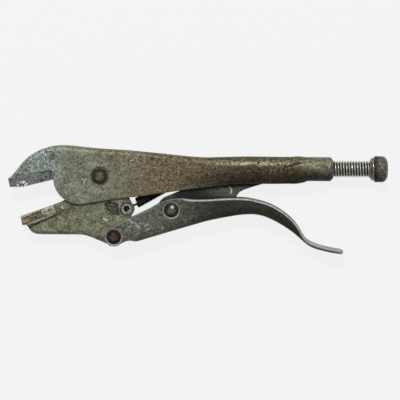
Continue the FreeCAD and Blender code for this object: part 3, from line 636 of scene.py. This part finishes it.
def round_over(mesh, radius, keep):
    """Rounds the square edges between the flat sides and the outline, where keep(points, normals) is true for
    the outline's surface. Points near such an edge are drawn onto a quarter circle of the radius."""
    points, _ = mesh_arrays(mesh)
    normals = mesh_normals(mesh)
    middle = (points[:, 2].max() + points[:, 2].min()) / 2
    half = np.abs(points[:, 2] - middle)
    outline = (np.abs(normals[:, 2]) < 0.25) & keep(points, normals) & (half < half.max() * 0.6)
    rim = np.nonzero(outline)[0]
    tree = side_view_tree(points, rim)
    moved = points.copy()
    for index, (x, y, z) in enumerate(points):
        depth = half.max() - abs(z - middle)
        if depth >= radius:
            continue
        _, i, away = tree.find((x, y, 0.0))
        if away >= radius:
            continue
        out = normals[rim[i]][:2]
        out = out / max(1e-9, np.linalg.norm(out))
        a, b = radius - away, radius - depth
        pull = max(a, b) / math.hypot(a, b)
        moved[index, :2] -= out * (a * (1 - pull))
        moved[index, 2] -= math.copysign(b * (1 - pull), z - middle)
    move_points(mesh, moved)


def mark_inset(mesh, keep, reach=5 * MM):
    """Stores how far each point lies from the outline that keep picks, as a share of reach."""
    points, _ = mesh_arrays(mesh)
    normals = mesh_normals(mesh)
    rim = np.nonzero((np.abs(normals[:, 2]) < 0.25) & keep(points, normals))[0]
    tree = side_view_tree(points, rim)
    store_share(mesh, "inset", [min(1.0, tree.find((x, y, 0.0))[2] / reach) for x, y, _ in points])


def press_grooves(mesh, marks, half, depth):
    """Presses straight creases, given in millimetres in the side view, into the upper side."""
    points, _ = mesh_arrays(mesh)
    for start, end in marks:
        a, b = np.array(start) * MM, np.array(end) * MM
        way = b - a
        along = np.clip((points[:, :2] - a) @ way / (way @ way), 0, 1)
        away = np.linalg.norm(points[:, :2] - a - along[:, None] * way, axis=1)
        points[:, 2] -= depth * np.clip(1 - away / half, 0, 1) ** 2 * (points[:, 2] > MID_Z)
    move_points(mesh, points)


def close_seam(mesh):
    """Brings the wide nose's rear face up against the sheet's front edge, so that no gap shows."""
    points, _ = mesh_arrays(mesh)
    rear = (mesh_normals(mesh)[:, 0] > 0.5) & (np.abs(points[:, 2] - MID_Z) > 5.7 * MM)
    points[rear, 0] += 0.6 * MM
    move_points(mesh, points)


def keep_inside(mesh, node):
    """No point leaves the CAD node's own box."""
    low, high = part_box(node)
    points, _ = mesh_arrays(mesh)
    move_points(mesh, np.clip(points, np.array(low), np.array(high)))


def grid_mesh(name, rows):
    """A closed surface over rings of points, an array (stations, around, 3), with both end rings capped."""
    stations, around, _ = rows.shape
    faces = []
    for i in range(stations - 1):
        for j in range(around):
            k = (j + 1) % around
            faces.append((i * around + j, i * around + k, (i + 1) * around + k, (i + 1) * around + j))
    faces.append(tuple(range(around)))
    faces.append(tuple(reversed(range((stations - 1) * around, stations * around))))
    mesh = bpy.data.meshes.new(name)
    mesh.from_pydata(rows.reshape(-1, 3).tolist(), [], faces)
    mesh.validate()
    for polygon in mesh.polygons:
        polygon.use_smooth = True
    cleaner = bmesh.new()
    cleaner.from_mesh(mesh)
    bmesh.ops.recalc_face_normals(cleaner, faces=cleaner.faces)
    cleaner.to_mesh(mesh)
    cleaner.free()
    return mesh


def add_object(name, data):
    obj = bpy.data.objects.new(name, data)
    bpy.context.scene.collection.objects.link(obj)
    return obj


def seat(obj, node):
    """The piece stands for the CAD node and rides on its body."""
    obj.data.materials.clear()
    obj.data.materials.append(MATERIALS[SLOT_OF[node]])
    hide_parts(node)
    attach(obj, BODY_OF[node])
    return obj


def worn_copy(node, voxel, rounds, dents, size, over=()):
    """The CAD node with its hard edges worn round: remeshed evenly, smoothed, dented.
    over lists (radius, keep) pairs for round_over."""
    obj = add_object("worn_" + node, frame["nodes"][node].data.copy())
    modifier = obj.modifiers.new("even", "REMESH")
    modifier.mode = "VOXEL"
    modifier.voxel_size = voxel
    modifier.use_smooth_shade = True
    bpy.context.view_layer.update()
    graph = bpy.context.evaluated_depsgraph_get()
    even = bpy.data.meshes.new_from_object(obj.evaluated_get(graph))
    obj.modifiers.clear()
    obj.data = even
    for radius, keep in over:
        round_over(even, radius, keep)
    wear_down(even, rounds, dents, size)
    keep_inside(even, node)
    mark_relief(even, RELIEF_REACH)
    return seat(obj, node)


# ---------------------------------------------------------------- pieces worn from the CAD
# Where each piece's outline is rounded over. p holds the points and n the normals, one row each.
def nose_top(p, n):
    return (n[:, 1] > 0.1) & (p[:, 0] < -0.034)


def jaw_belly(p, n):
    return (n[:, 1] < -0.1) & (p[:, 1] < -0.033) & (p[:, 0] < 0.012)


def jaw_shoulder(p, n):
    return (n[:, 1] > 0.1) & (p[:, 1] > -0.0195) & (p[:, 0] < -0.02)


def lever_back(p, n):
    return (n[:, 1] < -0.05) & (p[:, 0] > 0.0245) & (p[:, 1] < -0.02)


def lever_mouth(p, n):
    return (n[:, 1] > 0.05) & (p[:, 0] > 0.014)


def lever_rim(p, n):
    """The top edge of the lever's two side sheets."""
    return (n[:, 1] > 0.1) & (p[:, 0] > 0.05) & (np.abs(p[:, 2] - MID_Z) > 6.2 * MM)


worn_handle = worn_copy("upper_handle", 0.42 * MM, rounds=4, dents=0.22 * MM, size=14 * MM)
press_grooves(worn_handle.data, CREASES, 1.3 * MM, 0.55 * MM)
worn_jaw = worn_copy("upper_jaw", 0.30 * MM, rounds=4, dents=0.25 * MM, size=6 * MM,
                     over=[(2.6 * MM, nose_top)])
close_seam(worn_jaw.data)
worn_copy("upper_jaw_plate", 0.22 * MM, rounds=3, dents=0.12 * MM, size=3 * MM)
worn_copy("lower_jaw", 0.34 * MM, rounds=5, dents=0.30 * MM, size=7 * MM,
          over=[(2.8 * MM, jaw_belly), (1.5 * MM, jaw_shoulder)])
worn_copy("lower_jaw_plate", 0.22 * MM, rounds=3, dents=0.12 * MM, size=3 * MM)
worn_lever = worn_copy("lower_handle", 0.38 * MM, rounds=4, dents=0.20 * MM, size=11 * MM,
                       over=[(3.2 * MM, lever_back), (1.0 * MM, lever_mouth)])
mark_inset(worn_lever.data, lever_rim)
worn_copy("toggle_link", 0.34 * MM, rounds=4, dents=0.15 * MM, size=8 * MM)
for small in ("jaw_rivet", "handle_rivet", "link_rivet", "spring_pin", "jaw_fixing_pins"):
    worn_copy(small, 0.16 * MM, rounds=3, dents=0.12 * MM, size=2 * MM)


# ---------------------------------------------------------------- adjusting screw with a real thread and knurl
CREST_R, ROOT_R, PITCH = 5.55 * MM, 4.45 * MM, 1.814 * MM
STEPS_PER_PITCH = 11
THREAD_LEAD_IN, LEAD_IN_DROP = 1.5 * MM, 0.8 * MM       # how the thread begins at the screw's tip
KNOB_LENGTH, CONE_LENGTH, COLLAR = 8.8 * MM, 3.1 * MM, 1.0 * MM
CONE_DROP = 0.7 * MM                    # the cone ends this far under the knob's radius
# The groove before the knob: millimetres past the collar, millimetres under the knob's radius.
NECK = ((0.25, 0.8), (0.45, 1.1), (0.75, 1.1), (0.95, 0.7), (1.15, 0.35))
KNURL_DEPTH, KNURL_RIDGES, KNURL_LEAD = 0.36 * MM, 40, 1.15 * MM
END_ROUND, END_DROP = 3.8 * MM, 4.8 * MM        # the knob's rounded end, along and across
END_DISH = 0.25 * MM


def adjusting_screw():
    low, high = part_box("adjusting_screw")
    axis_y, axis_z = (low.y + high.y) / 2, (low.z + high.z) / 2
    knob_r = (high.y - low.y) / 2
    knob_from = high.x - KNOB_LENGTH
    thread_to = knob_from - CONE_LENGTH
    around = 288
    turn = np.linspace(0, 2 * math.pi, around, endpoint=False)

    def thread_r(x):
        phase = ((x - low.x) / PITCH - turn / (2 * math.pi)) % 1.0
        wave = np.abs(phase - 0.5) * 2
        r = ROOT_R + (CREST_R - ROOT_R) * np.clip((1 - wave) * 1.45 - 0.16, 0, 1)
        grown = min(1.0, (x - low.x) / THREAD_LEAD_IN)
        tip_r = ROOT_R - LEAD_IN_DROP
        return np.minimum(r, tip_r + (CREST_R - tip_r) * grown)

    def knurl_r(x, radius, depth):
        a = (turn * KNURL_RIDGES / (2 * math.pi) + x / KNURL_LEAD) % 1.0
        b = (turn * KNURL_RIDGES / (2 * math.pi) - x / KNURL_LEAD) % 1.0
        valley = np.minimum(np.abs(a - 0.5), np.abs(b - 0.5)) * 2
        return radius - depth * (1 - np.clip(valley * 1.8, 0, 1))

    def round_r(radius):
        return np.full(around, radius)

    stations = [(x, thread_r(x)) for x in np.arange(low.x, thread_to, PITCH / STEPS_PER_PITCH)]
    stations.append((thread_to, round_r(CREST_R * 0.96)))
    collar = knob_from - COLLAR
    for share in np.linspace(0.03, 1.0, 9):
        x = thread_to + share * (collar - thread_to)
        stations.append((x, round_r(CREST_R + (knob_r - CONE_DROP - CREST_R) * share ** 0.8)))
    for ahead, below in NECK:
        stations.append((collar + ahead * MM, round_r(knob_r - below * MM)))
    for x in np.arange(knob_from + 0.3 * MM, high.x - END_ROUND, 0.16 * MM):
        stations.append((x, knurl_r(x, knob_r, KNURL_DEPTH)))
    for angle in np.linspace(0, 90, 12):
        a = math.radians(angle)
        x = high.x - END_ROUND + END_ROUND * math.sin(a)
        r = knob_r - END_DROP * (1 - math.cos(a))
        stations.append((x, knurl_r(x, r, KNURL_DEPTH * math.cos(a))))
    for share in (0.9, 0.75, 0.55, 0.4, 0.3, 0.2, 0.1, 0.03):
        dish = END_DISH if share < 0.5 else 0.0
        stations.append((high.x - dish, round_r((knob_r - END_DROP) * share)))
    rows = np.empty((len(stations), around, 3))
    for i, (x, r) in enumerate(stations):
        rows[i, :, 0] = x
        rows[i, :, 1] = axis_y + r * np.cos(turn)
        rows[i, :, 2] = axis_z + r * np.sin(turn)
    mesh = grid_mesh("screw", rows)
    keep_inside(mesh, "adjusting_screw")
    mark_relief(mesh, 5)
    seat(add_object("adjusting_screw_threaded", mesh), "adjusting_screw")


adjusting_screw()


# ---------------------------------------------------------------- opening spring, wound from wire
SPRING_ANGLE = math.radians(29.0)       # of the spring's line at rest
WIRE_R, COIL_R = 0.74 * MM, 2.84 * MM
COIL_FROM, COIL_TO = 7.4 * MM, 42.6 * MM
COIL_SPACING = 2.06 * WIRE_R
POINTS_PER_TURN = 20
LOOP_R = 4.4 * MM                       # round the hollow pin
TAIL_END = 53.2 * MM                    # where the hook begins
HOOK_REACH, HOOK_R = 1.9 * MM, 1.7 * MM


def tube_along(path, radius, sides=10):
    """A round wire along the path, as stations for grid_mesh."""
    path = np.array(path)
    ahead = np.gradient(path, axis=0)
    ahead /= np.linalg.norm(ahead, axis=1)[:, None]
    side = np.cross(ahead[0], (0.3, 0.1, 0.95))
    rows = np.empty((len(path), sides, 3))
    turn = np.linspace(0, 2 * math.pi, sides, endpoint=False)
    for i, (point, direction) in enumerate(zip(path, ahead)):
        side = side - direction * side.dot(direction)
        side /= np.linalg.norm(side)
        up = np.cross(direction, side)
        rows[i] = point + radius * (np.cos(turn)[:, None] * side + np.sin(turn)[:, None] * up)
    return rows


def spring_path():
    """The wire's middle line, from the pin's axis along +X."""
    path = []
    for degrees in range(40, 356, 8):       # the loop round the hollow pin
        a = math.radians(degrees)
        path.append((LOOP_R * math.cos(a), LOOP_R * math.sin(a), 0))
    for share in np.linspace(0.1, 1.0, 8):  # out to the first coil
        x = LOOP_R + (COIL_FROM - LOOP_R) * share
        path.append((x, COIL_R * math.sin(share * math.pi / 2) * -0.2, 0))
    for i in range(10):                     # and round into it
        a = i / 10
        path.append((COIL_FROM + 0.05 * MM * i, -COIL_R * (0.2 + 0.8 * a),
                     COIL_R * math.sin(a * math.pi / 2) * 0.3))
    count = int((COIL_TO - COIL_FROM) / COIL_SPACING) * POINTS_PER_TURN
    for i in range(count):
        a = i / POINTS_PER_TURN * 2 * math.pi - math.pi / 2
        x = COIL_FROM + 0.5 * MM + (COIL_TO - COIL_FROM) * i / count
        path.append((x, COIL_R * math.sin(a), COIL_R * math.cos(a)))
    for share in np.linspace(0.1, 1.0, 10):
        path.append((COIL_TO + (TAIL_END - COIL_TO) * share, -COIL_R * (1 - share) ** 2, 0))
    for degrees in range(10, 181, 12):      # the hook through the handle's tongue
        a = math.radians(degrees)
        path.append((TAIL_END + HOOK_REACH * math.sin(a), HOOK_R * (1 - math.cos(a)), 0))
    return path


def opening_spring():
    mesh = grid_mesh("spring", tube_along(spring_path(), WIRE_R))
    pivot = Vector(SPRING_PIVOT)
    mesh.transform(Matrix.Translation(pivot) @ Matrix.Rotation(SPRING_ANGLE, 4, "Z"))
    keep_inside(mesh, "opening_spring")
    mark_relief(mesh, 2)
    spring = seat(add_object("opening_spring_wound", mesh), "opening_spring")
    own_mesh(spring)


opening_spring()


# ---------------------------------------------------------------- floor, light and camera
FLOOR_TONE = (0.05, 0.05, 0.05)
FLOOR_GLOW = 0.845
FLOOR_HALF = 6.0
FRAME_WIDTH = 0.2628            # what the picture spans at the aim
AIM = Vector((0.06596, -0.01577, 0.0165))
DISTANCE = 1.6
TILT = math.radians(2.5)
LIGHT_AIM = Vector((0.065, -0.01, 0.0))
LIGHTS = (                      # name, place, size, power
    ("key", (-0.2, 1.55, 2.35), (1.3, 0.7), 62.0),
    ("top", (0.3, 0.3, 2.6), (1.6, 1.6), 5.0))
SKY_COLOUR, SKY_STRENGTH = (0.97, 0.98, 1.0, 1.0), 0.26


def plain_floor():
    """A pale sweep that glows a little, so that the tool's shadow on it stays faint."""
    mesh = bpy.data.meshes.new("floor")
    corners = [(x * FLOOR_HALF, y * FLOOR_HALF, 0) for x, y in ((-1, -1), (1, -1), (1, 1), (-1, 1))]
    mesh.from_pydata(corners, [], [(0, 1, 2, 3)])
    floor = add_object("floor", mesh)
    floor.location.z = CAD_LOW.z - 0.3 * MM
    n = Nodes("pale_floor")
    cloud = n.noise(0.25, 2.0, 0.5)
    colour = n.mix(n.ramp(cloud, 0.3, 0.7), FLOOR_TONE, tuple(c * 1.015 for c in FLOOR_TONE))
    n.shader.inputs["Emission Color"].default_value = (1.0, 1.0, 1.0, 1.0)
    n.shader.inputs["Emission Strength"].default_value = FLOOR_GLOW
    floor.data.materials.append(n.finish(colour, 0.9, 0.0, n.bump(n.noise(2 * MM, 2.0), 0.05, 0.1 * MM)))


def area_light(name, place, size, power):
    data = bpy.data.lights.new(name, "AREA")
    data.shape = "RECTANGLE"
    data.size, data.size_y = size
    data.energy = power
    light = add_object(name, data)
    light.location = place
    light.rotation_mode = "QUATERNION"
    light.rotation_quaternion = (LIGHT_AIM - Vector(place)).to_track_quat("-Z", "Y")


def studio():
    world = bpy.data.worlds.new("studio")
    world.use_nodes = True
    world.node_tree.nodes["Background"].inputs["Color"].default_value = SKY_COLOUR
    world.node_tree.nodes["Background"].inputs["Strength"].default_value = SKY_STRENGTH
    bpy.context.scene.world = world
    for light in LIGHTS:
        area_light(*light)
    bpy.context.scene.view_settings.view_transform = "Standard"


def photo_camera():
    data = bpy.data.cameras.new("camera")
    data.sensor_width = 36.0
    data.lens = data.sensor_width * DISTANCE / FRAME_WIDTH
    data.clip_start, data.clip_end = 0.05, 30.0
    camera = add_object("camera", data)
    camera.location = AIM + Vector((0, math.sin(TILT), math.cos(TILT))) * DISTANCE
    camera.rotation_euler = (-TILT, 0, 0)
    bpy.context.scene.camera = camera


plain_floor()
studio()
photo_camera()
